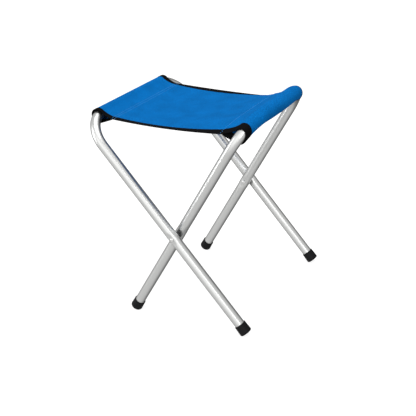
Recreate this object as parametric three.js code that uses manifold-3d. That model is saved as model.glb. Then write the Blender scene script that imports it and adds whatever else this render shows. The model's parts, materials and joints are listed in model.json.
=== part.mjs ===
// Folding camp stool: two bent tube frames crossed like scissors, and a fabric seat slung between their rails.
// Millimetres, +Z up. X runs from the outer frame's rail to the inner frame's rail, and Y runs along the rails.
// The origin is on the floor, below the middle of the seat.
import * as THREE from 'three';
import { mergeVertices } from 'three/addons/utils/BufferGeometryUtils.js';
import Module from 'manifold-3d';

const wasm = await Module();
wasm.setup();

// ---- driving dimensions ----
const TUBE_RADIUS = 9.5;
const TUBE_WALL = 1.2;
const OUTER_BEND_RADIUS = 55; // centreline of the bend between a rail and a leg
const INNER_BEND_RADIUS = 65;
const RAIL_X = 156.5; // rail centreline from the middle
const RAIL_Z = 391.5; // rail centreline above the floor
const FOOT_X = 127.5; // where a leg's axis meets the end of its cap, from the middle
const FOOT_Z = 5; // and above the floor
const OUTER_TOP_Y = 146.5; // half the width between the outer legs' axes, at the rail
const OUTER_FOOT_Y = 146.5; // and at the feet
const INNER_TOP_Y = 117; // the inner legs spread a little on their way down
const INNER_FOOT_Y = 133;
const DIMPLE_DEPTH = 1.2; // each tube is pressed flat where it is riveted
const DIMPLE_FLAT = 7; // half the length of the flat
const DIMPLE_RUNOUT = 16; // half the length over which the tube is out of round
const RIVET_RADIUS = 2.4;
const RIVET_HEAD_RADIUS = 3.7;
const RIVET_HEAD_HEIGHT = 1.9;
const SPACER_RADIUS = 6.5;
const CAP_RADIUS = 11.5; // at the floor end of a foot cap
const CAP_TOP_RADIUS = 11;
const CAP_LENGTH = 20;
const CAP_BASE = 4; // solid rubber below the tube's end
const CAP_EDGE = 2.2; // rounding of the cap's floor end
const GAP = 0.3; // left between pieces that touch
const SEAT_HALF_Y = 110; // fabric, without its edge tape
const TAPE_DEPTH = 2.5; // the tape's fold beyond the fabric's edge
const FABRIC = 1.4; // thickness of the seat with its hem
const TAPE = 2.4; // thickness of the taped edge
const SLEEVE_BORE = 10.1; // the sleeve that the rail runs through
const SLEEVE_RADIUS = 12;
const MOUTH_RADIUS = 12.4; // the taped end of a sleeve
const SEAM_X = 118; // the row of stitches that closes each sleeve
const SEAM_Z = 386.5; // and the top of the seat there
const SEAT_MIDDLE_Z = 374; // top of the seat in the middle, where it is lowest
const STITCH_WIDTH = 0.9;
const STITCH_HEIGHT = 0.5;

// ---- what follows from them ----
const LEG = Math.hypot(RAIL_X + FOOT_X, RAIL_Z - FOOT_Z); // from a rail's axis to the cap's end
const LEAN_X = (RAIL_X + FOOT_X) / LEG;
const LEAN_Z = (RAIL_Z - FOOT_Z) / LEG;
const PIVOT_U = RAIL_X / LEAN_X; // along the leg, from the rail down to the pivot
const PIVOT_Z = RAIL_Z - LEAN_Z * PIVOT_U;
const OUTER_PIVOT_Y = OUTER_TOP_Y + ((OUTER_FOOT_Y - OUTER_TOP_Y) * PIVOT_U) / LEG;
const INNER_PIVOT_Y = INNER_TOP_Y + ((INNER_FOOT_Y - INNER_TOP_Y) * PIVOT_U) / LEG;
const FLAT_RADIUS = TUBE_RADIUS - DIMPLE_DEPTH; // from a tube's axis to its flat

// A frame is drawn flat: u runs down the legs from the rail's axis, and y along the rail.
const OUTER = { side: -1, topY: OUTER_TOP_Y, footY: OUTER_FOOT_Y, pivotY: OUTER_PIVOT_Y, bend: OUTER_BEND_RADIUS };
const INNER = { side: 1, topY: INNER_TOP_Y, footY: INNER_FOOT_Y, pivotY: INNER_PIVOT_Y, bend: INNER_BEND_RADIUS };
for (const frame of [OUTER, INNER]) {
  frame.slope = (frame.footY - frame.topY) / LEG;
  frame.turn = Math.PI / 2 - Math.atan(frame.slope); // angle of each bend
  frame.straightY = frame.topY - frame.bend * Math.tan(frame.turn / 2); // half the straight rail
}

// ---- materials ----
const ALUMINIUM = { color: 0xb9bdc0, roughness: 0.32, metalness: 1 };
const RIVET_STEEL = { color: 0xc9cbcc, roughness: 0.28, metalness: 1 };
const NYLON = { color: 0x222326, roughness: 0.55, metalness: 0 };
const RUBBER = { color: 0x17181a, roughness: 0.7, metalness: 0 };
const BLUE_FABRIC = { color: 0x1468b8, roughness: 0.85, metalness: 0 };
const BLUE_THREAD = { color: 0x4b93d6, roughness: 0.7, metalness: 0 };
const BLACK_TAPE = { color: 0x0e0f11, roughness: 0.8, metalness: 0 };

const stool = new THREE.Group();

function addMesh(name, geometry, finish) {
  const mesh = new THREE.Mesh(geometry, new THREE.MeshStandardMaterial(finish));
  mesh.name = name;
  stool.add(mesh);
}

// ---- joining and cutting ----
function toSolid(geometry) {
  const plain = geometry.clone();
  plain.deleteAttribute('normal');
  plain.deleteAttribute('uv');
  const merged = mergeVertices(plain, 1e-4);
  const vertProperties = Float32Array.from(merged.attributes.position.array);
  const triVerts = Uint32Array.from(merged.index.array);
  return new wasm.Manifold(new wasm.Mesh({ numProp: 3, vertProperties, triVerts }));
}

function toGeometry(solid) {
  const { vertProperties, triVerts } = solid.getMesh();
  const geometry = new THREE.BufferGeometry();
  geometry.setAttribute('position', new THREE.BufferAttribute(Float32Array.from(vertProperties), 3));
  geometry.setIndex(new THREE.BufferAttribute(Uint32Array.from(triVerts), 1));
  geometry.computeVertexNormals();
  return geometry;
}

// A rod along Y at the pivot, for the rivet's holes.
function pivotRod(radius, fromY, toY) {
  const rod = new THREE.CylinderGeometry(radius, radius, Math.abs(toY - fromY), 12);
  rod.translate(0, (fromY + toY) / 2, PIVOT_Z);
  return rod;
}

// ---- the bent tubes ----
function polygon(radius, sides) {
  const points = [];
  for (let i = 0; i < sides; i += 1) {
    const angle = (2 * Math.PI * i) / sides;
    points.push(new THREE.Vector2(radius * Math.cos(angle), radius * Math.sin(angle)));
  }
  return points;
}

function inSpace(frame, u, y) {
  return new THREE.Vector3(frame.side * (RAIL_X - LEAN_X * u), y, RAIL_Z - LEAN_Z * u);
}

// Stations are close together at the dimples and the bends only.
const LEG_STATIONS = [
  LEG - CAP_BASE - GAP,
  PIVOT_U + DIMPLE_RUNOUT,
  PIVOT_U + (DIMPLE_RUNOUT + DIMPLE_FLAT) / 2,
  PIVOT_U + DIMPLE_FLAT,
  PIVOT_U - DIMPLE_FLAT,
  PIVOT_U - (DIMPLE_RUNOUT + DIMPLE_FLAT) / 2,
  PIVOT_U - DIMPLE_RUNOUT,
];
const BEND_STEPS = 8;
const SLEEVE_BEND_STEPS = 5;

// One half of the path, from the front foot to the end of the bend.
function halfStations(frame) {
  const spread = Math.hypot(1, frame.slope);
  const legTangent = [-1 / spread, frame.slope / spread];
  const stations = LEG_STATIONS.map((u) => ({ u, y: -frame.topY - frame.slope * u, tangent: legTangent }));
  for (let i = BEND_STEPS; i >= 0; i -= 1) {
    const angle = (frame.turn * i) / BEND_STEPS;
    const u = frame.bend * (1 - Math.cos(angle));
    const y = -frame.straightY - frame.bend * Math.sin(angle);
    stations.push({ u, y, tangent: [-Math.sin(angle), Math.cos(angle)] });
  }
  return stations;
}

// Stations on the bends only, from one distance along the rail to another.
function bendStations(frame, fromY, toY, steps) {
  const angleAt = (y) => Math.sign(y) * Math.asin(Math.max(0, Math.abs(y) - frame.straightY) / frame.bend);
  const from = angleAt(fromY);
  const to = angleAt(toY);
  const stations = [];
  for (let i = 0; i <= steps; i += 1) {
    const angle = from + ((to - from) * i) / steps;
    const u = frame.bend * (1 - Math.cos(angle));
    const y = Math.sign(fromY) * frame.straightY + frame.bend * Math.sin(angle);
    stations.push({ u, y, tangent: [Math.sin(angle), Math.cos(angle)] });
  }
  return stations;
}

// From one end of a sleeve to the other: a bend, the straight rail, and the other bend.
function sleeveStations(frame) {
  return [
    ...bendStations(frame, -SEAT_HALF_Y, -frame.straightY, SLEEVE_BEND_STEPS),
    ...bendStations(frame, frame.straightY, SEAT_HALF_Y, SLEEVE_BEND_STEPS),
  ];
}

class StationPath extends THREE.Curve {
  constructor(frame, stations) {
    super();
    this.frame = frame;
    this.stations = stations;
  }

  stationAt(t) {
    return this.stations[Math.round(t * (this.stations.length - 1))];
  }

  getPointAt(t) {
    const { u, y } = this.stationAt(t);
    return inSpace(this.frame, u, y);
  }

  getTangentAt(t) {
    const { u, y, tangent } = this.stationAt(t);
    const ahead = inSpace(this.frame, u + tangent[0], y + tangent[1]);
    return ahead.sub(inSpace(this.frame, u, y)).normalize();
  }
}

function wholeFrame(frame) {
  const front = halfStations(frame);
  const back = [...front].reverse().map(({ u, y, tangent }) => ({ u, y: -y, tangent: [-tangent[0], tangent[1]] }));
  return [...front, ...back];
}

function sweep(frame, stations, shape) {
  const extrudePath = new StationPath(frame, stations);
  return new THREE.ExtrudeGeometry(shape, { steps: stations.length - 1, extrudePath, bevelEnabled: false });
}

function ringShape(outside, inside) {
  const ring = new THREE.Shape(polygon(outside, 16));
  ring.holes.push(new THREE.Path(polygon(inside, 16)));
  return ring;
}

// Presses a leg flat on both sides, square to the pivot.
function pressFlat(geometry, frame, end) {
  const position = geometry.attributes.position;
  for (let i = 0; i < position.count; i += 1) {
    const x = position.getX(i) * frame.side;
    const y = position.getY(i) * end;
    const z = position.getZ(i);
    const along = -LEAN_X * x - LEAN_Z * (z - PIVOT_Z);
    if (y > 0 && Math.abs(along) <= DIMPLE_RUNOUT + 1) {
      const across = LEAN_Z * x - LEAN_X * (z - PIVOT_Z);
      const fromAxis = Math.hypot(y - frame.pivotY - frame.slope * along, across);
      const wall = fromAxis > TUBE_RADIUS - TUBE_WALL / 2 ? 0 : TUBE_WALL;
      const press = 1 - THREE.MathUtils.smoothstep(Math.abs(along), DIMPLE_FLAT, DIMPLE_RUNOUT);
      const limit = TUBE_RADIUS - wall - DIMPLE_DEPTH * press + 2 * (1 - press);
      const offset = THREE.MathUtils.clamp(y - frame.pivotY, -limit, limit);
      position.setY(i, (frame.pivotY + offset) * end);
    }
  }
}

function frameTube(frame) {
  const tube = sweep(frame, wholeFrame(frame), ringShape(TUBE_RADIUS, TUBE_RADIUS - TUBE_WALL));
  pressFlat(tube, frame, -1);
  pressFlat(tube, frame, 1);
  let solid = toSolid(tube);
  for (const end of [-1, 1]) {
    const from = end * (frame.pivotY - 2 * TUBE_RADIUS);
    const to = end * (frame.pivotY + 2 * TUBE_RADIUS);
    solid = solid.subtract(toSolid(pivotRod(RIVET_RADIUS + GAP, from, to)));
  }
  return toGeometry(solid);
}

// ---- foot caps ----
// A rubber cup pushed over the tube's end. The floor wears a small flat on its lower edge.
function footCap(frame, end) {
  const bore = TUBE_RADIUS + GAP;
  const outline = [
    new THREE.Vector2(0, 0),
    new THREE.Vector2(CAP_RADIUS - CAP_EDGE, 0),
  ];
  for (let i = 1; i <= 4; i += 1) {
    const angle = (Math.PI / 2) * (i / 4);
    const x = CAP_RADIUS - CAP_EDGE + CAP_EDGE * Math.sin(angle);
    outline.push(new THREE.Vector2(x, CAP_EDGE * (1 - Math.cos(angle))));
  }
  outline.push(
    new THREE.Vector2(CAP_TOP_RADIUS, CAP_LENGTH - 0.8),
    new THREE.Vector2(CAP_TOP_RADIUS - 0.5, CAP_LENGTH),
    new THREE.Vector2(bore, CAP_LENGTH),
    new THREE.Vector2(bore, CAP_BASE),
    new THREE.Vector2(0, CAP_BASE),
  );
  const cap = new THREE.LatheGeometry(outline, 20);
  const foot = inSpace(frame, LEG, end * frame.footY);
  const higher = inSpace(frame, 0, end * frame.topY);
  const upLeg = higher.sub(foot).normalize();
  cap.applyQuaternion(new THREE.Quaternion().setFromUnitVectors(new THREE.Vector3(0, 1, 0), upLeg));
  cap.translate(foot.x, foot.y, foot.z);
  const floorDepth = 20;
  const floor = new THREE.BoxGeometry(4 * CAP_LENGTH, 4 * CAP_LENGTH, floorDepth);
  floor.translate(foot.x, foot.y, -floorDepth / 2);
  return toGeometry(toSolid(cap).subtract(toSolid(floor)));
}

// ---- rivets and spacers ----
function domeOutline(fromY, direction) {
  const points = [];
  for (let i = 0; i <= 4; i += 1) {
    const angle = (Math.PI / 2) * (i / 4);
    const rise = direction * RIVET_HEAD_HEIGHT * Math.cos(angle);
    points.push(new THREE.Vector2(RIVET_HEAD_RADIUS * Math.sin(angle), fromY + rise));
  }
  return points;
}

// A rivet through both tubes, with a low dome on each end. Y is its own axis.
function pivotRivet(end) {
  const outside = OUTER_PIVOT_Y + FLAT_RADIUS + GAP;
  const inside = INNER_PIVOT_Y - FLAT_RADIUS - GAP;
  const outline = [
    ...domeOutline(inside, -1),
    new THREE.Vector2(RIVET_RADIUS, inside),
    new THREE.Vector2(RIVET_RADIUS, outside),
    ...domeOutline(outside, 1).reverse(),
  ];
  const rivet = new THREE.LatheGeometry(outline, 16);
  if (end < 0) rivet.rotateX(Math.PI);
  rivet.translate(0, 0, PIVOT_Z);
  return rivet;
}

// A hard washer that sits between the two flats and keeps the tubes apart.
function pivotSpacer(end) {
  const from = INNER_PIVOT_Y + FLAT_RADIUS + GAP;
  const to = OUTER_PIVOT_Y - FLAT_RADIUS - GAP;
  const ring = new THREE.Shape(polygon(SPACER_RADIUS, 20));
  ring.holes.push(new THREE.Path(polygon(RIVET_RADIUS + GAP, 12)));
  const spacer = new THREE.ExtrudeGeometry(ring, { depth: to - from, bevelEnabled: false });
  spacer.rotateX(-Math.PI / 2);
  spacer.translate(0, end > 0 ? from : -to, PIVOT_Z);
  return spacer;
}

// ---- the seat ----
// Across the stool the seat hangs in a shallow parabola between the two seams.
function seatTop(x) {
  return SEAT_MIDDLE_Z + (SEAM_Z - SEAT_MIDDLE_Z) * (x / SEAM_X) ** 2;
}

// The parabola, moved down by depth, from one distance from the middle to another.
function seatLine(fromX, toX, depth, steps) {
  const points = [];
  for (let i = 0; i <= steps; i += 1) {
    const x = fromX + ((toX - fromX) * i) / steps;
    points.push(new THREE.Vector2(x, seatTop(x) - depth));
  }
  return points;
}

// The seat's section from the middle to the rail's axis.
function panelSection(side, thickness) {
  const outline = [
    ...seatLine(GAP / 2, SEAM_X, 0, 8),
    new THREE.Vector2(RAIL_X, RAIL_Z + thickness / 2),
    new THREE.Vector2(RAIL_X, RAIL_Z - thickness / 2),
    ...seatLine(SEAM_X, GAP / 2, thickness, 8),
  ];
  return new THREE.Shape(outline.map((point) => new THREE.Vector2(point.x * side, point.y)));
}

// Past its straight length the rail bends down into the leg, and the seat's edge goes down with it.
function followBend(geometry, frame) {
  const position = geometry.attributes.position;
  for (let i = 0; i < position.count; i += 1) {
    const x = position.getX(i);
    const beyond = Math.max(0, Math.abs(position.getY(i)) - frame.straightY);
    const drop = frame.bend - Math.sqrt(frame.bend ** 2 - beyond ** 2);
    const share = Math.min(1, Math.abs(x) / SEAM_X) ** 2;
    position.setX(i, x - frame.side * LEAN_X * drop * share);
    position.setZ(i, position.getZ(i) - LEAN_Z * drop * share);
  }
}

// Draws a section out along the rail, with a cross-section at each of the given distances.
function alongRail(section, distances, frame) {
  const steps = distances.length - 1;
  const geometry = new THREE.ExtrudeGeometry(section, { depth: steps, steps, bevelEnabled: false });
  geometry.rotateX(Math.PI / 2);
  const position = geometry.attributes.position;
  for (let i = 0; i < position.count; i += 1) {
    position.setY(i, distances[Math.round(steps + position.getY(i))]);
  }
  followBend(geometry, frame);
  return geometry;
}

function keepClear(geometry, frame, radius) {
  const clearance = new THREE.Shape(polygon(radius + 2 * GAP, 16));
  return toGeometry(toSolid(geometry).subtract(toSolid(sweep(frame, wholeFrame(frame), clearance))));
}

function seatPanel(frame) {
  const distances = sleeveStations(frame).map((station) => station.y);
  return keepClear(alongRail(panelSection(frame.side, FABRIC), distances, frame), frame, MOUTH_RADIUS);
}

// The two edges of the tape at one end of the seat, in the order in which Y rises.
function tapeEdges(end) {
  const near = SEAT_HALF_Y + GAP;
  const far = near + TAPE_DEPTH;
  return end > 0 ? [near, far] : [-far, -near];
}

function edgeTape(frame, end) {
  return keepClear(alongRail(panelSection(frame.side, TAPE), tapeEdges(end), frame), frame, MOUTH_RADIUS);
}

function seatSleeve(frame) {
  return sweep(frame, sleeveStations(frame), ringShape(SLEEVE_RADIUS, SLEEVE_BORE));
}

function mouthTape(frame, end) {
  const [low, high] = tapeEdges(end);
  return sweep(frame, bendStations(frame, low, high, 1), ringShape(MOUTH_RADIUS, SLEEVE_BORE));
}

// The row of thread lies on the seat, over the line where the sleeve's two layers meet.
function seamStitches(frame) {
  const low = SEAM_Z + GAP;
  const section = new THREE.Shape([
    new THREE.Vector2(frame.side * (SEAM_X - STITCH_WIDTH), low),
    new THREE.Vector2(frame.side * SEAM_X, low),
    new THREE.Vector2(frame.side * SEAM_X, low + STITCH_HEIGHT),
    new THREE.Vector2(frame.side * (SEAM_X - STITCH_WIDTH), low + STITCH_HEIGHT),
  ]);
  return alongRail(section, sleeveStations(frame).map((station) => station.y), frame);
}

// ---- the stool ----
for (const [which, frame] of [['outer', OUTER], ['inner', INNER]]) {
  addMesh(`${which}_frame_tube`, frameTube(frame), ALUMINIUM);
  addMesh(`seat_panel_${which}_half`, seatPanel(frame), BLUE_FABRIC);
  addMesh(`seat_sleeve_${which}`, seatSleeve(frame), BLUE_FABRIC);
  addMesh(`seam_stitches_${which}`, seamStitches(frame), BLUE_THREAD);
  for (const [place, end] of [['front', -1], ['back', 1]]) {
    addMesh(`foot_cap_${which}_${place}`, footCap(frame, end), RUBBER);
    addMesh(`edge_tape_${which}_${place}`, edgeTape(frame, end), BLACK_TAPE);
    addMesh(`mouth_tape_${which}_${place}`, mouthTape(frame, end), BLACK_TAPE);
  }
}
addMesh('pivot_rivet_front', pivotRivet(-1), RIVET_STEEL);
addMesh('pivot_rivet_back', pivotRivet(1), RIVET_STEEL);
addMesh('pivot_spacer_front', pivotSpacer(-1), NYLON);
addMesh('pivot_spacer_back', pivotSpacer(1), NYLON);

export default stool;
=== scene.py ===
# %% [markdown]
# # A folding camp stool
# Two bent aluminium tubes cross like scissors, and a blue sling seat hangs between their top rails. The
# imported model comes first: it is the frame that every piece below is made in and rides on.
# %% Load the frame
import json
import math

import bmesh
import bpy
import numpy as np
from mathutils import Matrix, Vector

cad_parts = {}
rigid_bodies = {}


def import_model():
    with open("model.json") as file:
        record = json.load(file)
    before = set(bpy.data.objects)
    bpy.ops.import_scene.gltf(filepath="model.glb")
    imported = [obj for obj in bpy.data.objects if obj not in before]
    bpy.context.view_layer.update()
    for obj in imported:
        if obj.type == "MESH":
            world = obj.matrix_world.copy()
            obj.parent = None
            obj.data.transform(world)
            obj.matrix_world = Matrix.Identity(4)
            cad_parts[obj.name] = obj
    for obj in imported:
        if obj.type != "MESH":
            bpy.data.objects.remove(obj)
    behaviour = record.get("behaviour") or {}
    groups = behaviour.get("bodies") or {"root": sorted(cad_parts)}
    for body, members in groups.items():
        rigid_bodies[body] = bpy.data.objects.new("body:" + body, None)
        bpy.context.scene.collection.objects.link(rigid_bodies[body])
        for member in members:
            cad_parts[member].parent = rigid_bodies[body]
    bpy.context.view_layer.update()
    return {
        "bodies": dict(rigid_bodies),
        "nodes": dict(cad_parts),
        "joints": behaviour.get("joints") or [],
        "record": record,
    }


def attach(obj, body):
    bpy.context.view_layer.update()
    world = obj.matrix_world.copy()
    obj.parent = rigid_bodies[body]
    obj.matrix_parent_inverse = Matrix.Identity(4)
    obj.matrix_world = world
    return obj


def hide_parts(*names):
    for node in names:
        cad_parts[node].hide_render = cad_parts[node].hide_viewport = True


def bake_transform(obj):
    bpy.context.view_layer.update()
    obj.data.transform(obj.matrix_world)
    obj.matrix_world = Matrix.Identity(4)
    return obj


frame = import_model()

# %% [markdown]
# ## The sizes that the pieces share
# X runs from the outer frame's rail to the inner frame's rail, Y along the rails and Z up. Both frames are
# bent from the same tube. Each is flat, so it can be drawn on paper: a distance down the leg from the rail,
# and one along the rail. The outer frame is on the side -1, and the inner on the side +1.
# %% Shared sizes
MM = 0.001
TUBE_RADIUS = 9.5 * MM
RAIL = Vector((156.5, 0, 391.5)) * MM
FOOT = Vector((-127.5, 0, 5)) * MM
LEG = (RAIL - FOOT).length
LEAN = (RAIL - FOOT).normalized()
PIVOT_DOWN = RAIL.x / LEAN.x
PIVOT_Z = RAIL.z - LEAN.z * PIVOT_DOWN


class Frame:
    """One bent tube: its side, half its width at the rail and at the feet, and the radius of its bends."""

    def __init__(self, side, top, foot, bend):
        self.side, self.top, self.foot, self.bend = side, top * MM, foot * MM, bend * MM
        self.slope = (self.foot - self.top) / LEG
        self.turn = math.pi / 2 - math.atan(self.slope)
        self.straight = self.top - self.bend * math.tan(self.turn / 2)
        self.up = Vector((side * LEAN.x, 0, LEAN.z))
        self.rail = Vector((side * RAIL.x, 0, RAIL.z))

    def in_space(self):
        """Takes a drawing with X along the rail and Z up the legs to its place in the stool."""
        along = Vector((0, 1, 0))
        across = self.up.cross(along)
        turned = Matrix((along, across, self.up)).transposed().to_4x4()
        return Matrix.Translation(self.rail) @ turned

    def half_width(self, down):
        return self.top + self.slope * down

    def drop(self, y):
        """How far the rail has bent down the leg at this Y, and how steeply it goes there."""
        beyond = max(0.0, abs(y) - self.straight)
        return self.bend - math.sqrt(self.bend**2 - beyond**2), math.asin(beyond / self.bend)


OUTER = Frame(-1, 146.5, 146.5, 55)
INNER = Frame(1, 117, 133, 65)
print(f"leg {LEG:.3f} m, leaning {math.degrees(math.acos(LEAN.z)):.1f} degrees, pivot {PIVOT_Z:.4f} m up")
print(f"straight rails {2 * OUTER.straight:.3f} and {2 * INNER.straight:.3f} m")

# %% [markdown]
# ## The camera
# A long lens a metre and a half away looks down over the front corner, and keeps the legs nearly as long at
# the back as at the front. The camera rolls a little, so its right and up directions turn together.
# %% Camera
AZIMUTH, ELEVATION, ROLL = math.radians(33.9), math.radians(23.53), math.radians(-7.95)
DISTANCE = 1.571
AIM_HEIGHT = 0.190
AIM_LEFT, AIM_BELOW = 0.0136, 0.01365
LENS, SENSOR_WIDTH = 70.4, 36
back = Vector((
    math.sin(AZIMUTH) * math.cos(ELEVATION),
    -math.cos(AZIMUTH) * math.cos(ELEVATION),
    math.sin(ELEVATION),
))
level_right = Vector((math.cos(AZIMUTH), math.sin(AZIMUTH), 0))
level_up = back.cross(level_right)
target = Vector((0, 0, AIM_HEIGHT)) - AIM_LEFT * level_right - AIM_BELOW * level_up
right = math.cos(ROLL) * level_right + math.sin(ROLL) * level_up
up = back.cross(right)
facing = Matrix((right, up, back)).transposed().to_4x4()

scene = bpy.context.scene
camera_data = bpy.data.cameras.new("camera")
camera_data.lens = LENS
camera_data.sensor_width = SENSOR_WIDTH
camera = bpy.data.objects.new("camera", camera_data)
scene.collection.objects.link(camera)
camera.matrix_world = Matrix.Translation(target + DISTANCE * back) @ facing
scene.camera = camera
scene.view_settings.view_transform = "Standard"
print("camera at", tuple(round(x, 3) for x in camera.location))

# %% [markdown]
# ## The floor
# The stool stands on a white sheet. A big plane does for it. Its own glow makes it nearly white, so that
# only a faint shadow is left under the feet. Every ray but the camera's own passes through it, because the
# tubes would otherwise mirror it and lose their grey sides.
# %% Floor
FLOOR_SIZE = 30
FLOOR_COLOUR = (0.3, 0.3, 0.3, 1)
FLOOR_GLOW = 0.86

floor_mesh = bpy.data.meshes.new("floor")
floor_bm = bmesh.new()
bmesh.ops.create_grid(floor_bm, x_segments=1, y_segments=1, size=FLOOR_SIZE / 2)
floor_bm.to_mesh(floor_mesh)
floor_bm.free()
floor = bpy.data.objects.new("floor", floor_mesh)
scene.collection.objects.link(floor)

floor_material = bpy.data.materials.new("pale_floor")
floor_material.use_nodes = True
floor_nodes, floor_links = floor_material.node_tree.nodes, floor_material.node_tree.links
floor_shader = floor_nodes["Principled BSDF"]
floor_shader.inputs["Base Color"].default_value = FLOOR_COLOUR
floor_shader.inputs["Roughness"].default_value = 1.0
floor_shader.inputs["Emission Color"].default_value = (1, 1, 1, 1)
floor_shader.inputs["Emission Strength"].default_value = FLOOR_GLOW
unseen = floor_nodes.new("ShaderNodeBsdfTransparent")
floor_rays = floor_nodes.new("ShaderNodeLightPath")
floor_mix = floor_nodes.new("ShaderNodeMixShader")
floor_links.new(floor_rays.outputs["Is Camera Ray"], floor_mix.inputs["Fac"])
floor_links.new(unseen.outputs["BSDF"], floor_mix.inputs[1])
floor_links.new(floor_shader.outputs["BSDF"], floor_mix.inputs[2])
floor_links.new(floor_mix.outputs["Shader"], floor_nodes["Material Output"].inputs["Surface"])
floor_mesh.materials.append(floor_material)
print("floor", FLOOR_SIZE, "m wide")

# %% [markdown]
# ## The world
# Bare metal only shows what stands round it, so the world does most of the work. It is brightest in one
# direction, in front of the stool and a little above it, and falls off through greys to nearly black
# behind. Each tube mirrors that as a white streak between darker sides. The camera sees plain white.
# %% World
BRIGHTEST = (0.137, -0.898, 0.417)
# Each place on the ramp, from straight away from the brightest direction to straight at it, and its grey.
SURROUND = [(0.0, 0.08), (0.2, 0.16), (0.42, 0.42), (0.6, 0.5), (0.8, 0.52), (0.93, 0.72), (0.985, 1.0)]
SURROUND_STRENGTH = 1.45
SURROUND_BLUE = 0.985  # the blue in each grey, against its red and green

world = bpy.data.worlds.new("studio")
world.use_nodes = True
scene.world = world
world_nodes, world_links = world.node_tree.nodes, world.node_tree.links
surround = world_nodes["Background"]
surround.inputs["Strength"].default_value = SURROUND_STRENGTH
direction = world_nodes.new("ShaderNodeTexCoord")
towards_bright = world_nodes.new("ShaderNodeVectorMath")
towards_bright.operation = "DOT_PRODUCT"
towards_bright.inputs[1].default_value = BRIGHTEST
share = world_nodes.new("ShaderNodeMapRange")
share.inputs["From Min"].default_value = -1
steps = world_nodes.new("ShaderNodeValToRGB")
while len(steps.color_ramp.elements) < len(SURROUND):
    steps.color_ramp.elements.new(0.5)
for element, (position, level) in zip(steps.color_ramp.elements, SURROUND):
    element.position, element.color = position, (level, level, level * SURROUND_BLUE, 1)
world_links.new(direction.outputs["Generated"], towards_bright.inputs[0])
world_links.new(towards_bright.outputs["Value"], share.inputs["Value"])
world_links.new(share.outputs["Result"], steps.inputs["Fac"])
world_links.new(steps.outputs["Color"], surround.inputs["Color"])
seen = world_nodes.new("ShaderNodeBackground")
seen.inputs["Color"].default_value = (1, 1, 1, 1)
seen.inputs["Strength"].default_value = 1.0
rays = world_nodes.new("ShaderNodeLightPath")
either = world_nodes.new("ShaderNodeMixShader")
world_links.new(rays.outputs["Is Camera Ray"], either.inputs["Fac"])
world_links.new(surround.outputs["Background"], either.inputs[1])
world_links.new(seen.outputs["Background"], either.inputs[2])
world_links.new(either.outputs["Shader"], world_nodes["World Output"].inputs["Surface"])
print("world:", len(SURROUND), "greys")

# %% [markdown]
# ## The lights
# One large soft light hangs over the seat and gives the cloth its shading. Two tall strips stand to the
# left and right in front, and each draws a thin line along the tubes.
# %% Lights
MIDDLE_OF_STOOL = Vector((0, 0, 0.25))


def soft_light(name, place, size, power):
    """A rectangle of light at a place, facing the middle of the stool."""
    data = bpy.data.lights.new(name, "AREA")
    data.shape = "RECTANGLE"
    data.size, data.size_y = size
    data.energy = power
    light = bpy.data.objects.new(name, data)
    scene.collection.objects.link(light)
    light.location = place
    towards = MIDDLE_OF_STOOL - Vector(place)
    light.rotation_mode = "QUATERNION"
    light.rotation_quaternion = towards.to_track_quat("-Z", "Y")


soft_light("key", (0.4, 0.1, 2.4), (1.5, 1.5), 26)
soft_light("left_strip", (-1.6, -1.2, 0.9), (0.28, 1.6), 9)
soft_light("right_strip", (1.6, -1.5, 0.9), (0.25, 1.5), 4)

# %% [markdown]
# ## Helpers
# A piece is made in a bmesh and stays at the origin, with its place in its mesh. Extruding and spinning
# carry a row of edges along, so two small helpers pick out what an extrusion has just made.
# %% Helpers for pieces


def make_piece(name, bm, material):
    """Turns a finished bmesh into an object, with smooth faces and one material."""
    mesh = bpy.data.meshes.new(name)
    bm.to_mesh(mesh)
    bm.free()
    mesh.materials.append(material)
    mesh.polygons.foreach_set("use_smooth", [True] * len(mesh.polygons))
    piece = bpy.data.objects.new(name, mesh)
    scene.collection.objects.link(piece)
    return piece


def new_verts(made):
    return [v for v in made["geom"] if isinstance(v, bmesh.types.BMVert)]


def new_edges(made):
    """The far edges of an extrusion, which join two of its new points."""
    fresh = set(new_verts(made))
    edges = {e for v in fresh for e in v.link_edges}
    return [e for e in edges if e.verts[0] in fresh and e.verts[1] in fresh]


def spun(profile, steps, ring=False):
    """A closed solid turned round Z from a profile of (radius, height). The profile starts and ends on the
    axis, or it is a ring's outline and closes on itself."""
    bm = bmesh.new()
    chain = [bm.verts.new((r, 0, h)) for r, h in profile]
    following = chain[1:] + chain[:1] if ring else chain[1:]
    edges = [bm.edges.new(pair) for pair in zip(chain, following)]
    bmesh.ops.spin(
        bm, geom=chain + edges, cent=(0, 0, 0), axis=(0, 0, 1), dvec=(0, 0, 0),
        angle=2 * math.pi, steps=steps, use_merge=True, use_duplicate=False,
    )
    bmesh.ops.remove_doubles(bm, verts=bm.verts, dist=1e-6)
    bmesh.ops.recalc_face_normals(bm, faces=bm.faces)
    return bm


# %% [markdown]
# ## Effects that several finishes share
# The same few things happen to every surface: thread crosses thread, and a flat colour is never quite
# even. Each is a node group with named sockets, built once, and each material sets its own values.
# %% A helper for node groups


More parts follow.
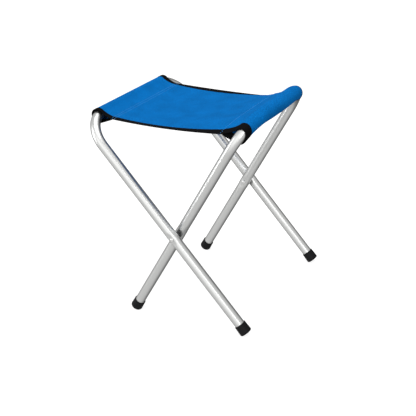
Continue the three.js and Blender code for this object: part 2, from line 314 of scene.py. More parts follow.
class Group:
    """A small helper that adds nodes to a group and joins them up."""

    def __init__(self, name, inputs, outputs):
        self.tree = bpy.data.node_groups.new(name, "ShaderNodeTree")
        for socket, kind, value in inputs:
            made = self.tree.interface.new_socket(socket, in_out="INPUT", socket_type=kind)
            if value is not None:
                made.default_value = value
        for socket, kind in outputs:
            self.tree.interface.new_socket(socket, in_out="OUTPUT", socket_type=kind)
        self.inside = self.tree.nodes.new("NodeGroupInput")
        self.outside = self.tree.nodes.new("NodeGroupOutput")

    def node(self, kind, **settings):
        made = self.tree.nodes.new(kind)
        for key, value in settings.items():
            setattr(made, key, value)
        return made

    def put(self, socket, value):
        if isinstance(value, bpy.types.NodeSocket):
            self.tree.links.new(value, socket)
        else:
            socket.default_value = value

    def math(self, operation, *values):
        made = self.node("ShaderNodeMath", operation=operation)
        for socket, value in zip(made.inputs, values):
            self.put(socket, value)
        return made.outputs[0]


# %% [markdown]
# A plain weave: along each thread the height rises and falls, and its neighbours are half a step out. Two
# sine waves multiplied give that, and where their product is near nothing there is a gap between threads.
# %% The weave
weave = Group(
    "plain_weave",
    [("Vector", "NodeSocketVector", None), ("Thread", "NodeSocketFloat", 0.0006)],
    [("Height", "NodeSocketFloat"), ("Gap", "NodeSocketFloat")],
)
place = weave.node("ShaderNodeSeparateXYZ")
weave.put(place.inputs[0], weave.inside.outputs["Vector"])
step = weave.math("DIVIDE", math.pi, weave.inside.outputs["Thread"])
across_wave = weave.math("SINE", weave.math("MULTIPLY", place.outputs[0], step))
along_wave = weave.math("SINE", weave.math("MULTIPLY", place.outputs[1], step))
over = weave.math("MULTIPLY", across_wave, along_wave)
round_thread = weave.math("ABSOLUTE", over)
weave.put(weave.outside.inputs["Height"], weave.math("ADD", weave.math("MULTIPLY", over, 0.5), 0.5))
weave.put(weave.outside.inputs["Gap"], weave.math("SUBTRACT", 1.0, weave.math("POWER", round_thread, 0.5)))

# %% [markdown]
# Mottling: slow blotches, as where dye took a little more or hands have been. Noise makes a colour lighter
# and darker about its own value, and at a fine scale the same group gives grain.
# %% The mottling
mottle = Group(
    "mottle",
    [
        ("Vector", "NodeSocketVector", None),
        ("Scale", "NodeSocketFloat", 20.0),
        ("Colour", "NodeSocketColor", (0.5, 0.5, 0.5, 1)),
        ("Amount", "NodeSocketFloat", 0.1),
    ],
    [("Colour", "NodeSocketColor"), ("Value", "NodeSocketFloat")],
)
cloud = mottle.node("ShaderNodeTexNoise")
cloud.inputs["Detail"].default_value = 4
mottle.put(cloud.inputs["Vector"], mottle.inside.outputs["Vector"])
mottle.put(cloud.inputs["Scale"], mottle.inside.outputs["Scale"])
about_even = mottle.math("SUBTRACT", cloud.outputs["Fac"], 0.5)
swing = mottle.math("MULTIPLY", about_even, mottle.inside.outputs["Amount"])
brightness = mottle.node("ShaderNodeHueSaturation")
mottle.put(brightness.inputs["Value"], mottle.math("ADD", 1.0, swing))
mottle.put(brightness.inputs["Color"], mottle.inside.outputs["Colour"])
mottle.put(mottle.outside.inputs["Colour"], brightness.outputs["Color"])
mottle.put(mottle.outside.inputs["Value"], cloud.outputs["Fac"])
print("groups:", [g.name for g in bpy.data.node_groups])

# %% [markdown]
# ## The finishes
# Each finish is one Principled shader fed by the groups. Colours are linear values. The cloth, the tape and
# the tubes read the UV map, and the rubber reads Object coordinates.
# %% A helper for finishes


class Finish:
    """A material whose Principled shader is fed by the shared groups."""

    def __init__(self, name, colour, roughness, metallic=0.0):
        self.material = bpy.data.materials.new(name)
        self.material.use_nodes = True
        self.nodes, self.links = self.material.node_tree.nodes, self.material.node_tree.links
        self.shader = self.nodes["Principled BSDF"]
        self.colour = (*colour, 1)
        self.shader.inputs["Base Color"].default_value = self.colour
        self.shader.inputs["Roughness"].default_value = roughness
        self.shader.inputs["Metallic"].default_value = metallic
        self.coordinates = self.nodes.new("ShaderNodeTexCoord")

    def group(self, group, vector, **values):
        made = self.nodes.new("ShaderNodeGroup")
        made.node_tree = group.tree
        self.links.new(vector, made.inputs["Vector"])
        for socket, value in values.items():
            made.inputs[socket].default_value = value
        return made

    def bump(self, height, distance, strength):
        made = self.nodes.new("ShaderNodeBump")
        made.inputs["Distance"].default_value = distance
        made.inputs["Strength"].default_value = strength
        self.links.new(height, made.inputs["Height"])
        self.links.new(made.outputs["Normal"], self.shader.inputs["Normal"])

    def spread(self, value, low, high, socket):
        """Runs a 0 to 1 value between two levels into one of the shader's sockets."""
        made = self.nodes.new("ShaderNodeMapRange")
        made.inputs["To Min"].default_value = low
        made.inputs["To Max"].default_value = high
        self.links.new(value, made.inputs["Value"])
        self.links.new(made.outputs["Result"], self.shader.inputs[socket])


# %% [markdown]
# The seat is plain woven polyester and its edges are bound in black tape, which is woven too. One function
# makes both: mottled colour, painted shade in the gaps between the threads, and a bump for each thread.
# Dull cloth hardly shines, so its specular level is near nothing.
# %% Cloth and tape
BLOTCH_SCALE, GRAIN_SCALE = 35.0, 420.0
# The colour in the gaps between threads is multiplied by this tint: painted shade, as where the threads
# shade each other.
GAP_SHADE_TINT = (0.72, 0.76, 0.82, 1)
THREAD_RELIEF = 0.12 * MM
CLOTH_SHINE = 0.03


def cloth(name, colour, thread, mottling, graininess, roughness):
    """Woven cloth: mottled colour, painted shade in the gaps between the threads, and a bump for each
    thread.
    """
    finish = Finish(name, colour, roughness)
    uv = finish.coordinates.outputs["UV"]
    blotch = finish.group(mottle, uv, Scale=BLOTCH_SCALE, Colour=finish.colour, Amount=mottling)
    grain = finish.group(mottle, uv, Scale=GRAIN_SCALE, Colour=finish.colour, Amount=graininess)
    finish.links.new(blotch.outputs["Colour"], grain.inputs["Colour"])
    threads = finish.group(weave, uv, Thread=thread)
    # Painted shade: the colour is darkened in the gaps between the threads.
    gap_shade = finish.nodes.new("ShaderNodeMix")
    gap_shade.data_type = "RGBA"
    gap_shade.blend_type = "MULTIPLY"
    finish.links.new(threads.outputs["Gap"], gap_shade.inputs["Factor"])
    finish.links.new(grain.outputs["Colour"], gap_shade.inputs[6])
    gap_shade.inputs[7].default_value = GAP_SHADE_TINT
    finish.links.new(gap_shade.outputs[2], finish.shader.inputs["Base Color"])
    finish.bump(threads.outputs["Height"], THREAD_RELIEF, 0.6)
    finish.shader.inputs["Specular IOR Level"].default_value = CLOTH_SHINE
    return finish.material


BLUE_CLOTH = cloth("blue_cloth", (0.0015, 0.138, 0.43), 0.7 * MM, 0.5, 1.2, 0.8)
BLACK_TAPE = cloth("black_tape", (0.0035, 0.0035, 0.004), 0.9 * MM, 0.5, 0.5, 0.6)
BLUE_THREAD = Finish("blue_thread", (0.035, 0.25, 0.62), 0.55).material

# %% [markdown]
# The foot caps are moulded rubber, black and a little porous: fine noise moves the colour, the roughness
# and the height together. The washers are smooth black nylon, and need nothing more than a colour.
# %% Rubber and nylon
PORE_SCALE = 900.0
RUBBER_SHINE = 0.12

rubber = Finish("black_rubber", (0.006, 0.006, 0.007), 0.42)
object_place = rubber.coordinates.outputs["Object"]
pores = rubber.group(mottle, object_place, Scale=PORE_SCALE, Colour=rubber.colour, Amount=0.9)
rubber.links.new(pores.outputs["Colour"], rubber.shader.inputs["Base Color"])
rubber.spread(pores.outputs["Value"], 0.34, 0.6, "Roughness")
rubber.shader.inputs["Specular IOR Level"].default_value = RUBBER_SHINE
rubber.bump(pores.outputs["Value"], 0.1 * MM, 0.5)
RUBBER = rubber.material
NYLON = Finish("black_nylon", (0.014, 0.014, 0.016), 0.45).material

# %% [markdown]
# The tubes are drawn through a die, which leaves faint marks along them. Noise that is stretched lengthwise
# on the UV map gives those marks, and they change the roughness more than the colour. The rivets are
# smoother and catch the light as a dot.
# %% Metals
LENGTHWISE = (1, 0.02, 1)
MARK_SCALE = 2500.0

tube_finish = Finish("drawn_aluminium", (0.69, 0.695, 0.695), 0.26, metallic=1.0)
lengthwise = tube_finish.nodes.new("ShaderNodeMapping")
lengthwise.inputs["Scale"].default_value = LENGTHWISE
tube_finish.links.new(tube_finish.coordinates.outputs["UV"], lengthwise.inputs["Vector"])
draw_marks = tube_finish.group(
    mottle, lengthwise.outputs["Vector"], Scale=MARK_SCALE, Colour=tube_finish.colour, Amount=0.05
)
tube_finish.links.new(draw_marks.outputs["Colour"], tube_finish.shader.inputs["Base Color"])
tube_finish.spread(draw_marks.outputs["Value"], 0.27, 0.35, "Roughness")
tube_finish.bump(draw_marks.outputs["Value"], 0.004 * MM, 0.1)
ALUMINIUM = tube_finish.material
RIVET = Finish("bright_rivet", (0.8, 0.8, 0.8), 0.12, metallic=1.0).material
print("materials:", [m.name for m in bpy.data.materials])

# %% [markdown]
# ## The two bent tubes
# A bender takes one straight tube and turns it twice. The same happens here: a circle is extruded up the
# leg, spun round the centre of the bend, extruded along the rail, spun again and extruded down to the other
# foot. A curve with a bevel would be shorter, but its rings can't be placed. Here the rings close together
# on each leg are for the place that is pressed flat.
# %% Bend the tubes
DIMPLE_FLAT = 7 * MM
DIMPLE_RUNOUT = 17 * MM
DIMPLE_DEPTH = 1.5 * MM
DIMPLE_RINGS = 17
CAP_BASE = 4.3 * MM
TUBE_SIDES, BEND_RINGS = 48, 20


def ring_distances():
    """Distances down the leg that need a ring of their own, from the bend to the foot."""
    around = [PIVOT_DOWN + DIMPLE_RUNOUT * share for share in np.linspace(-1, 1, DIMPLE_RINGS)]
    return [*around, LEG - CAP_BASE]


def bent_tube(f):
    """The tube in its drawing plane, with X along the rail and Z up the legs."""
    bm = bmesh.new()
    end_of_bend = f.bend * (1 - math.cos(f.turn))
    stops = list(reversed(ring_distances())) + [end_of_bend]
    bmesh.ops.create_circle(bm, segments=TUBE_SIDES, radius=TUBE_RADIUS)
    lean = Matrix.Rotation(math.atan(f.slope), 4, "Y")
    start = Vector((-f.half_width(stops[0]), 0, -stops[0]))
    bmesh.ops.transform(bm, matrix=Matrix.Translation(start) @ lean, verts=bm.verts)
    edges = list(bm.edges)

    def push(edges, by):
        made = bmesh.ops.extrude_edge_only(bm, edges=edges)
        bmesh.ops.translate(bm, vec=by, verts=new_verts(made))
        return new_edges(made)

    def bend(edges, x):
        verts = list({v for e in edges for v in e.verts})
        made = bmesh.ops.spin(
            bm, geom=edges + verts, cent=(x, 0, -f.bend), axis=(0, 1, 0), dvec=(0, 0, 0),
            angle=f.turn, steps=BEND_RINGS, use_merge=False, use_duplicate=False,
        )
        return [e for e in made["geom_last"] if isinstance(e, bmesh.types.BMEdge)]

    for here, there in zip(stops, stops[1:]):
        edges = push(edges, Vector((f.half_width(here) - f.half_width(there), 0, here - there)))
    edges = bend(edges, -f.straight)
    edges = push(edges, Vector((2 * f.straight, 0, 0)))
    edges = bend(edges, f.straight)
    downwards = list(reversed(stops))
    for here, there in zip(downwards, downwards[1:]):
        edges = push(edges, Vector((f.half_width(there) - f.half_width(here), 0, here - there)))
    ends = bmesh.ops.holes_fill(bm, edges=[e for e in bm.edges if e.is_boundary], sides=0)
    for face in ends["faces"]:
        for edge in face.edges:
            edge.smooth = False
    bmesh.ops.recalc_face_normals(bm, faces=bm.faces)
    return bm


# %% [markdown]
# Before the rivet goes in, each leg is pressed flat on both sides of its hole, so that the two frames sit
# close and the heads have a seat. The points near the hole are held inside two flat walls, and the tube
# swells a little the other way, as squeezed metal does.
# %% Press the flats
SWELL = 0.05


def press_flat(bm, f):
    for v in bm.verts:
        down = -v.co.z
        near = abs(down - PIVOT_DOWN)
        if near > DIMPLE_RUNOUT:
            continue
        t = min(1, max(0, (DIMPLE_RUNOUT - near) / (DIMPLE_RUNOUT - DIMPLE_FLAT)))
        press = t * t * (3 - 2 * t)
        axis = math.copysign(f.half_width(down), v.co.x)
        limit = TUBE_RADIUS - DIMPLE_DEPTH * press
        v.co.x = axis + min(limit, max(-limit, v.co.x - axis))
        v.co.y *= 1 + SWELL * press


# %% [markdown]
# The draw marks have to follow the tube round its bends, so each face is measured where it lies: round the
# tube, and along it from the middle of the rail. Both are in metres, which keeps the marks at their size.
# %% Map and place the tubes


def tube_uv(bm, f):
    """Gives the tube a UV map in metres: round the tube, and along it."""
    layer = bm.loops.layers.uv.new("UVMap")
    whole_turn = 2 * math.pi * TUBE_RADIUS
    for face in bm.faces:
        places = []
        for loop in face.loops:
            x, y, z = loop.vert.co
            side = math.copysign(1, x)
            if z > -f.bend and abs(x) > f.straight:
                angle = math.atan2(abs(x) - f.straight, z + f.bend)
                along = f.straight + f.bend * angle
                outward = math.hypot(abs(x) - f.straight, z + f.bend) - f.bend
            elif abs(x) <= f.straight:
                along, outward = abs(x), z
            else:
                along = f.straight + f.bend * f.turn - z - f.bend
                outward = abs(x) - f.half_width(-z)
            places.append([math.atan2(y, outward) * TUBE_RADIUS, side * along])
        far = max(p[0] for p in places)
        for loop, (around, along) in zip(face.loops, places):
            loop[layer].uv = (around + (whole_turn if far - around > whole_turn / 2 else 0), along)


FRAMES = [("outer", OUTER, "outer_frame"), ("inner", INNER, "inner_frame")]
for name, f, body in FRAMES:
    bm = bent_tube(f)
    press_flat(bm, f)
    tube_uv(bm, f)
    bmesh.ops.transform(bm, matrix=f.in_space(), verts=bm.verts)
    tube = make_piece(f"{name}_tube", bm, ALUMINIUM)
    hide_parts(f"{name}_frame_tube")
    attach(tube, body)
    print(tube.name, len(tube.data.vertices), "vertices")

# %% [markdown]
# ## Foot caps
# A moulded rubber cup is pushed over each tube end. It is a little wider at the floor, with a rounded edge
# below and a thin rolled lip at the top. A turned solid is the plain way to make it. A plane then cuts it
# at the floor, as wear does, because the cap meets the floor at a slant.
# %% Foot caps
CAP_SIDES = 48
CAP_PROFILE = [
    (0, 0), (8.4, 0), (9.4, 0.1), (10.4, 0.6), (11.1, 1.4), (11.45, 2.5), (11.4, 5), (11.2, 12),
    (10.95, 18.0), (10.95, 18.4), (11.15, 18.8), (11.15, 19.5), (10.9, 19.9), (10.4, 20), (9.95, 19.95),
    (9.75, 19.6), (9.75, 4.1), (0, 4.1),
]
ENDS = [("front", -1), ("back", 1)]


def foot_cap(f, end):
    bm = spun([(r * MM, h * MM) for r, h in CAP_PROFILE], CAP_SIDES)
    foot = f.in_space() @ Vector((end * f.foot, 0, -LEG))
    top = f.in_space() @ Vector((end * f.top, 0, 0))
    turn = (top - foot).to_track_quat("Z", "Y").to_matrix().to_4x4()
    bmesh.ops.transform(bm, matrix=Matrix.Translation(foot) @ turn, verts=bm.verts)
    everything = [*bm.verts, *bm.edges, *bm.faces]
    cut = bmesh.ops.bisect_plane(
        bm, geom=everything, plane_co=(0, 0, 0), plane_no=(0, 0, -1), clear_outer=True
    )
    rim = [e for e in cut["geom_cut"] if isinstance(e, bmesh.types.BMEdge)]
    bmesh.ops.holes_fill(bm, edges=rim, sides=0)
    bmesh.ops.recalc_face_normals(bm, faces=bm.faces)
    return bm


for name, f, body in FRAMES:
    for end_name, end in ENDS:
        cap = make_piece(f"rubber_foot_{name}_{end_name}", foot_cap(f, end), RUBBER)
        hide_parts(f"foot_cap_{name}_{end_name}")
        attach(cap, body)
        print(cap.name, len(cap.data.vertices), "vertices")

# %% [markdown]
# ## Rivets and washers
# One rivet goes through both tubes at each crossing, with a low dome on either end. A hard washer keeps the
# two flats apart, so the frames turn freely. Both are turned shapes, made upright and then laid over.
# %% Rivets and washers
PIVOT_SIDES = 32
OUTER_PIVOT = OUTER.half_width(PIVOT_DOWN)
INNER_PIVOT = INNER.half_width(PIVOT_DOWN)
FLAT = TUBE_RADIUS - DIMPLE_DEPTH
SHANK = 2.3 * MM
DOME_RADIUS, DOME_HEIGHT, DOME_EDGE = 3.9 * MM, 2.1 * MM, 0.9 * MM
DOME_POINTS = 8
HEAD_GAP, WASHER_GAP = 0.1 * MM, 0.15 * MM
WASHER_HOLE, WASHER_RADIUS, WASHER_ROUNDING = 2.7 * MM, 6.5 * MM, 0.3 * MM


def dome(height, direction):
    """The profile of a low domed head with a thin straight edge, from its middle out to the shank."""
    points = []
    for angle in np.linspace(0, math.pi / 2, DOME_POINTS):
        rise = DOME_EDGE + (DOME_HEIGHT - DOME_EDGE) * math.cos(angle)
        points.append((DOME_RADIUS * math.sin(angle), height + direction * rise))
    return [*points, (DOME_RADIUS, height), (SHANK, height)]


inside, outside = INNER_PIVOT - FLAT - HEAD_GAP, OUTER_PIVOT + FLAT + HEAD_GAP
washer_low, washer_high = INNER_PIVOT + FLAT + WASHER_GAP, OUTER_PIVOT - FLAT - WASHER_GAP
rivet_profile = [*dome(inside, -1), *reversed(dome(outside, 1))]
washer_outline = [
    (WASHER_HOLE, washer_low),
    (WASHER_RADIUS - WASHER_ROUNDING, washer_low),
    (WASHER_RADIUS, washer_low + WASHER_ROUNDING),
    (WASHER_RADIUS, washer_high - WASHER_ROUNDING),
    (WASHER_RADIUS - WASHER_ROUNDING, washer_high),
    (WASHER_HOLE, washer_high),
]
for end_name, end in ENDS:
    laid_over = Matrix.Translation((0, 0, PIVOT_Z)) @ Matrix.Rotation(-end * math.pi / 2, 4, "X")
    for name, node, slot, bm, material in [
        ("rivet", "pivot_rivet", "rivet", spun(rivet_profile, PIVOT_SIDES), RIVET),
        ("washer", "pivot_spacer", "spacer", spun(washer_outline, PIVOT_SIDES, ring=True), NYLON),
    ]:
        bmesh.ops.transform(bm, matrix=laid_over, verts=bm.verts)
        piece = make_piece(f"{name}_{end_name}", bm, material)
        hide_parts(f"{node}_{end_name}")
        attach(piece, "outer_frame")
print("rivets", 2 * DOME_RADIUS, "m across, washers", round(washer_high - washer_low, 5), "m thick")

# %% [markdown]
# ## The shape of the cloth
# The seat is one strip of cloth. At each end it goes over the rail, round under it and back to a seam,
# which makes the sleeve. The sleeve is sewn a little larger than the tube, or it couldn't be pulled round
# the bend, so it hangs loose below and behind it. Pulled tight between two rails, the cloth takes a plain
# shape that a few curves describe, so no cloth simulation is needed.
# %% The two sleeves' measures
CLOTH = 0.9 * MM
WRAP = TUBE_RADIUS + 0.6 * MM + CLOTH / 2
SEAT_HALF = 110.6 * MM


class Sleeve:
    """One end of the seat: its seam, how far that follows the rail's bend, how far the edge draws in, its
    slack, where the slack hangs, and how far it turns on the rail when the stool folds."""

    def __init__(self, frame, seam, follows, drawn_in, slack, hangs, turns):
        self.frame, self.follows, self.drawn_in, self.slack = frame, follows, drawn_in, slack * MM
        self.turns = frame.side * math.radians(turns)
        self.seam = Vector((frame.side * seam[0], 0, seam[1])) * MM
        self.hangs = [math.radians(angle) for angle in hangs]


OUTER_SLEEVE = Sleeve(
    OUTER, seam=(124.5, 387), follows=(0.5, 0.5), drawn_in=(1, 0.99),
    slack=2, hangs=(-90, -90), turns=45.3,
)
INNER_SLEEVE = Sleeve(
    INNER, seam=(118, 385.6), follows=(0.55, 0.78), drawn_in=(0.975, 0.825),
    slack=7, hangs=(-100, -118), turns=0,
)


def front_to_back(pair, y):
    """A value that changes evenly from the front edge to the back edge."""
    return pair[0] + (pair[1] - pair[0]) * (y / SEAT_HALF + 1) / 2


def seam_point(sleeve, y):
    down, _ = sleeve.frame.drop(y)
    return sleeve.seam + Vector((0, y, 0)) - front_to_back(sleeve.follows, y) * down * sleeve.frame.up


# %% [markdown]
# Between the seams the seat sags in one shallow curve, and its back edge curls up a little under the pull
# of its tape. Used cloth is never quite smooth, so a few shallow wrinkles run out from the corners. Each is
# a soft groove along a line, deepest at its middle.
# %% The open part of the seat
MIDDLE_Z = (373.6 * MM, 371.2 * MM)
BACK_CURL, CURL_FROM = 1.6 * MM, 96 * MM
WRINKLES = [  # from x, y to x, y, then the depth and half width, all in millimetres
    (-104, 64, -44, 36, 0.9, 6.5),
    (-108, -22, -62, -34, 0.6, 7),
    (-100, 18, -70, 8, 0.5, 6),
    (52, 62, 98, 92, 0.8, 7),
    (34, -58, 92, -90, 0.7, 7.5),
    (58, -20, 96, -34, 0.5, 7),
]


def wrinkle(x, y):
    """How far the shallow wrinkles take the cloth down at one point."""
    total = 0
    for x0, y0, x1, y1, depth, half_width in WRINKLES:
        start, along = Vector((x0, y0)) * MM, Vector((x1 - x0, y1 - y0)) * MM
        here = Vector((x, y)) - start
        t = min(1, max(0, here.dot(along) / along.length_squared))
        away = (here - t * along).length / (half_width * MM)
        total += depth * MM * math.exp(-away * away) * math.sin(math.pi * (0.15 + 0.7 * t))
    return total


def panel_point(x, y):
    """A point of the open part: a parabola from seam to seam, through the seat's height in the middle."""
    low, high = seam_point(OUTER_SLEEVE, y), seam_point(INNER_SLEEVE, y)
    middle = front_to_back(MIDDLE_Z, y)
    first, second = (low.z - middle) / low.x, (high.z - middle) / high.x
    curve = (second - first) / (high.x - low.x)
    curl = BACK_CURL * max(0, (y - CURL_FROM) / (SEAT_HALF - CURL_FROM)) ** 2 * (1 - (x / low.x) ** 2)
    height = middle + (first - curve * low.x) * x + curve * x * x
    return Vector((x, y, height + curl - wrinkle(x, y)))


# %% [markdown]
# Looked at from the front, each sleeve is a drop: a soft curve up from the seam to the tube, round it, and
# straight back. Where the rail has begun to bend down into the leg, the cut through the tube is longer, so
# the drop is worked out on a squeezed drawing in which the tube is round again. The cloth's edge is drawn
# in there too. The sleeve that turns on its rail has room for the tube wherever the fold takes it.
# %% The sleeves
ARC_POINTS, LAYER_POINTS = 26, 11
SQUARE = 0.2  # how far the cut through the cloth turns square to the bent rail
SOONER = 0.3  # the angle round the tube by which the cloth meets it sooner than a taut cloth would
LEAVING_PULL = 0.6
SLACK_LOST = 0.6  # the share of the slack that the tape takes up at the edges
LAP_RISE = 0.95 * MM
HEM_INWARDS, HEM_BELOW = 0.5 * MM, 1.3 * MM
SHORT_STEP, SHORT_TURN = 3 * MM, 0.01


def soft_curve(start, leaving, finish, arriving, count):
    """A curve between two points that leaves and arrives along given directions. It turns sooner where it
    leaves."""
    reach = (finish - start).length
    leaving = leaving * LEAVING_PULL
    points = []
    for t in np.linspace(0, 1, count).tolist():
        point = (2 * t**3 - 3 * t**2 + 1) * start + (t**3 - 2 * t**2 + t) * reach * leaving
        points.append(point + (3 * t**2 - 2 * t**3) * finish + (t**3 - t**2) * reach * arriving)
    return points


def sleeve_points(sleeve, y, lap=0.0):
    """The sleeve whose seam ends at this Y, from the seam over the rail and back under it, as points of the
    cloth's middle. A lap starts it that much nearer the middle, and on top of the panel."""
    f = sleeve.frame
    around = y * (1 - (1 - front_to_back(sleeve.drawn_in, y)) * (y / SEAT_HALF) ** 2)
    down, slant = f.drop(around)
    hang = sleeve.hangs[0] + (sleeve.hangs[1] - sleeve.hangs[0]) * (y / SEAT_HALF) ** 2
    spare = sleeve.slack / 2 * (1 - SLACK_LOST * (y / SEAT_HALF) ** 2)
    room = down * abs(math.sin(sleeve.turns / 2))
    if sleeve.turns:
        room += TUBE_RADIUS * (1 / math.cos(slant) - 1)
    radius = WRAP + spare + room
    between = math.cos(sleeve.turns / 2) * (Matrix.Rotation(sleeve.turns / 2, 3, "Y") @ f.up)
    centre = f.rail - down * between + spare * Vector((f.side * math.cos(hang), 0, math.sin(hang)))
    centre.y = around
    tilt = SQUARE * slant
    stretch = 1 / math.cos(slant - tilt)
    in_plane, sideways = stretch * math.cos(tilt), math.copysign(stretch * math.sin(tilt), y)
    across = Vector((f.side * LEAN.z, 0, -LEAN.x))

    def full(angle):
        """The point of the round part at this angle, taken back out of the squeezed drawing."""
        a, b = radius * math.cos(angle), radius * math.sin(angle)
        point = centre - a * in_plane * f.up + b * across
        point.y = around - a * sideways
        return point

    def contacts(p):
        """The two angles at which a straight cloth from a point would touch the sleeve's round part."""
        q = Vector(((p - centre).dot(-f.up) / in_plane, (p - centre).dot(across)))
        half = math.acos(min(1, radius / q.length))
        base = math.atan2(q.y, q.x)
        return [(base + sign * half, sign) for sign in (1, -1)]

    seam = seam_point(sleeve, y)
    inwards = (panel_point(seam.x - f.side * SHORT_STEP, y) - seam).normalized()
    start = seam + lap * inwards + Vector((0, 0, LAP_RISE if lap else 0))
    hem = seam - Vector((f.side * HEM_INWARDS, 0, HEM_BELOW))
    first, turn = max(contacts(seam), key=lambda end: full(end[0]).z)
    last = min(contacts(hem), key=lambda end: full(end[0]).z)[0]
    first -= turn * SOONER
    while (last - first) * turn < 0:
        last += turn * 2 * math.pi
    heading = (full(first + turn * SHORT_TURN) - full(first)).normalized()
    points = soft_curve(start, -inwards, full(first), heading, LAYER_POINTS)
    points += [full(angle) for angle in np.linspace(first, last, ARC_POINTS)[1:]]
    return points + [full(last).lerp(hem, t) for t in np.linspace(0, 1, LAYER_POINTS)[1:]]


# %% [markdown]
# The cloth is now cut into rows that run from rail to rail. They lie closer together at the two edges,
# where a tape will be folded over them. The sling is the outer sleeve and the open part in one piece, and
# the inner sleeve is a piece of its own that laps over it, because the two turn apart when the stool folds.
# %% The rows
TAPE_WIDTH = 9.0 * MM
TAPE_ROWS = 5
PANEL_POINTS, PANEL_ROWS = 44, 39
LAP_UNDER, LAP_OVER = 2 * MM, 2.5 * MM


def panel_points(y):
    """The open part at this Y, from the outer seam to the inner one, and a lap under the inner sleeve."""
    start, finish = seam_point(OUTER_SLEEVE, y), seam_point(INNER_SLEEVE, y)
    shares = np.linspace(0, 1, PANEL_POINTS).tolist()
    points = [panel_point(start.x + (finish.x - start.x) * t, y) for t in shares]
    return [*points, panel_point(finish.x + LAP_UNDER, y)]


edge_ys = [SEAT_HALF - TAPE_WIDTH * t for t in (0, 0.25, 0.5, 0.75, 1)]
inner_ys = [float(y) for y in np.linspace(edge_ys[-1], -edge_ys[-1], PANEL_ROWS + 2)[1:-1]]
ROWS = [-y for y in edge_ys] + [-y for y in inner_ys] + [y for y in reversed(edge_ys)]
sling_rows = [list(reversed(sleeve_points(OUTER_SLEEVE, y))) + panel_points(y)[1:] for y in ROWS]
sleeve_rows = [sleeve_points(INNER_SLEEVE, y, lap=LAP_OVER) for y in ROWS]
print(len(ROWS), "rows of", len(sling_rows[0]), "and", len(sleeve_rows[0]), "points")

# %% [markdown]
# ## From rows of points to cloth
# The first row is a chain of edges. Extruding the chain once for each further row weaves the grid, and the
# new points then move to their places. Solidify gives the cloth its thickness on both sides of that sheet,
# and one level of subdivision rounds it.
# %% Cloth helpers


def woven(rows):
    """A grid of faces from rows of points."""
    bm = bmesh.new()
    chain = [bm.verts.new(p) for p in rows[0]]
    edges = [bm.edges.new(pair) for pair in zip(chain, chain[1:])]
    for row in rows[1:]:
        made = bmesh.ops.extrude_edge_only(bm, edges=edges)
        fresh = new_verts(made)
        edges = new_edges(made)
        order = {}
        for v in fresh:
            for e in v.link_edges:
                other = e.other_vert(v)
                if other in chain:
                    order[v] = chain.index(other)
        fresh.sort(key=order.get)
        for v, p in zip(fresh, row):
            v.co = p
        chain = fresh
    bmesh.ops.recalc_face_normals(bm, faces=bm.faces)
    return bm


def lay_uv(piece, rows):
    """Measures the cloth along its first row and across its middle, and writes that as the UV map."""
    along = np.cumsum([0] + [(b - a).length for a, b in zip(rows[0], rows[0][1:])])
    middle = len(rows[0]) // 2
    across = np.cumsum([0] + [(b[middle] - a[middle]).length for a, b in zip(rows, rows[1:])])
    layer = piece.data.uv_layers.new(name="UVMap")
    width = len(rows[0])
    for loop in piece.data.loops:
        layer.data[loop.index].uv = (along[loop.vertex_index % width], across[loop.vertex_index // width])


def cloth_piece(name, rows, material, thickness):
    """A sheet through the rows of points, with its thickness and rounding made part of its mesh."""
    piece = make_piece(name, woven(rows), material)
    lay_uv(piece, rows)
    wall = piece.modifiers.new("thickness", "SOLIDIFY")
    wall.thickness = thickness
    wall.offset = 0
    wall.use_even_offset = True
    fine = piece.modifiers.new("fine", "SUBSURF")
    fine.levels = fine.render_levels = 1
    shown = piece.evaluated_get(bpy.context.evaluated_depsgraph_get())
    mesh = bpy.data.meshes.new_from_object(shown)
    piece.modifiers.clear()
    piece.data = mesh
    mesh.polygons.foreach_set("use_smooth", [True] * len(mesh.polygons))
    return piece


sling = cloth_piece("seat_sling", sling_rows, BLUE_CLOTH, CLOTH)
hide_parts("seat_panel_outer_half", "seat_panel_inner_half", "seat_sleeve_outer")
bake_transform(sling)

inner_sleeve = cloth_piece("inner_sleeve", sleeve_rows, BLUE_CLOTH, CLOTH)
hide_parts("seat_sleeve_inner")
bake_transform(inner_sleeve)
for piece in (sling, inner_sleeve):
    print(piece.name, len(piece.data.vertices), "vertices")

# %% [markdown]
# ## The edge tape
# A black tape is folded over the cloth's raw edge and stitched down, on the open part and round the mouths
# of the sleeves. Its rows are the cloth's own edge rows, moved off the cloth to its top, round the edge and
# back below, so the tape follows every bend of the cloth and never cuts into it.
# %% Fold the tapes
TAPE_THICK = 0.45 * MM
TAPE_OFF = CLOTH / 2 + 0.25 * MM
FOLD_OUT, FOLD_ROUND = 0.5 * MM, 0.6  # how far the fold stands out, and its share of the tape's height


def row_normals(rows):
    """The direction square to the cloth at each point."""
    grid = np.array([[tuple(p) for p in row] for row in rows])
    across, along = np.gradient(grid, axis=0), np.gradient(grid, axis=1)
    normals = np.cross(along, across)
    normals /= np.linalg.norm(normals, axis=2, keepdims=True)
    return [[Vector(n) for n in row] for row in normals]


def edge_tape(name, rows):
    """A tape folded over the cloth's edge. The rows run from the edge inwards over the tape's width."""
    normals = row_normals(rows)
    outward = [(a - b).normalized() for a, b in zip(rows[0], rows[1])]
    folded = []
    for row, normal in reversed(list(zip(rows, normals))):
        folded.append([p + n * TAPE_OFF for p, n in zip(row, normal)])
    for side in (1, -1):
        rise = side * TAPE_OFF * FOLD_ROUND
        folded.append([p + n * rise + o * FOLD_OUT for p, n, o in zip(rows[0], normals[0], outward)])
    for row, normal in zip(rows, normals):
        folded.append([p - n * TAPE_OFF for p, n in zip(row, normal)])
    return cloth_piece(name, folded, BLACK_TAPE, TAPE_THICK)


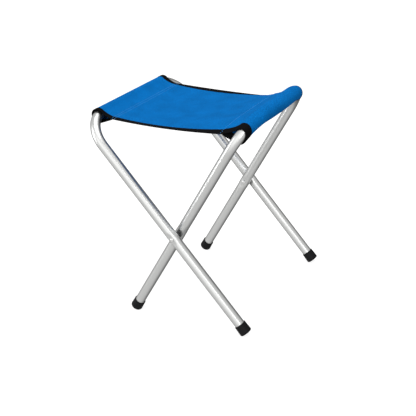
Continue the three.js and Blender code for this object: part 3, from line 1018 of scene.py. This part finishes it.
sling_tapes, sleeve_tapes = [], []
for end_name, edge in [("front", slice(0, TAPE_ROWS)), ("back", slice(-1, -TAPE_ROWS - 1, -1))]:
    tape = edge_tape(f"tape_{end_name}", sling_rows[edge])
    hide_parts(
        f"edge_tape_outer_{end_name}", f"edge_tape_inner_{end_name}", f"mouth_tape_outer_{end_name}"
    )
    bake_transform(tape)
    mouth = edge_tape(f"sleeve_tape_{end_name}", sleeve_rows[edge])
    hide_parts(f"mouth_tape_inner_{end_name}")
    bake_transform(mouth)
    sling_tapes.append(tape)
    sleeve_tapes.append(mouth)
print("tapes:", [tape.name for tape in sling_tapes + sleeve_tapes])

# %% [markdown]
# ## The seam stitches
# Two rows of lockstitch close each sleeve. Every stitch is a short raised thread, so it is a stretched ball
# laid on the cloth. At each edge the rows run on across the tape, where the pale thread shows on the black.
# %% Sew the seams
STITCH_PITCH = 3.3 * MM
STITCH_LENGTH, STITCH_THICK = 1.25 * MM, 0.33 * MM
STITCH_LIFT, STITCH_LIFT_ON_TAPE = 0.05 * MM, 0.65 * MM
FIRST_STITCH = 1.2 * MM
BALL_POINTS = 42


def stitch_rows(sleeve, rows):
    """Stitches along a seam: each row has a distance from the seam towards the middle."""
    f = sleeve.frame
    bm = bmesh.new()
    size = Matrix.Diagonal((STITCH_THICK, STITCH_LENGTH, STITCH_THICK, 1))
    for inwards in rows:
        for y in np.arange(-SEAT_HALF + FIRST_STITCH, SEAT_HALF - FIRST_STITCH, STITCH_PITCH).tolist():
            here, ahead = [
                panel_point(seam_point(sleeve, at).x - f.side * inwards * MM, at) for at in (y, y + 1 * MM)
            ]
            beside = panel_point(here.x + 1 * MM, y) - here
            along = (ahead - here).normalized()
            normal = beside.cross(along).normalized()
            on_tape = STITCH_LIFT_ON_TAPE if abs(y) > SEAT_HALF - TAPE_WIDTH else 0
            middle = Matrix.Translation(here + normal * (CLOTH / 2 + STITCH_LIFT + on_tape))
            turned = Matrix((along.cross(normal), along, normal)).transposed().to_4x4()
            bmesh.ops.create_icosphere(bm, subdivisions=2, radius=1, matrix=middle @ turned @ size)
    bmesh.ops.recalc_face_normals(bm, faces=bm.faces)
    return bm


for side, sleeve, rows in [("outer", OUTER_SLEEVE, (1, 6.5)), ("inner", INNER_SLEEVE, (1.2, 4.2))]:
    stitches = make_piece(f"{side}_stitches", stitch_rows(sleeve, rows), BLUE_THREAD)
    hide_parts(f"seam_stitches_{side}")
    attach(stitches, f"seat_half_{side}")
    print(stitches.name, len(stitches.data.vertices) // BALL_POINTS, "stitches")
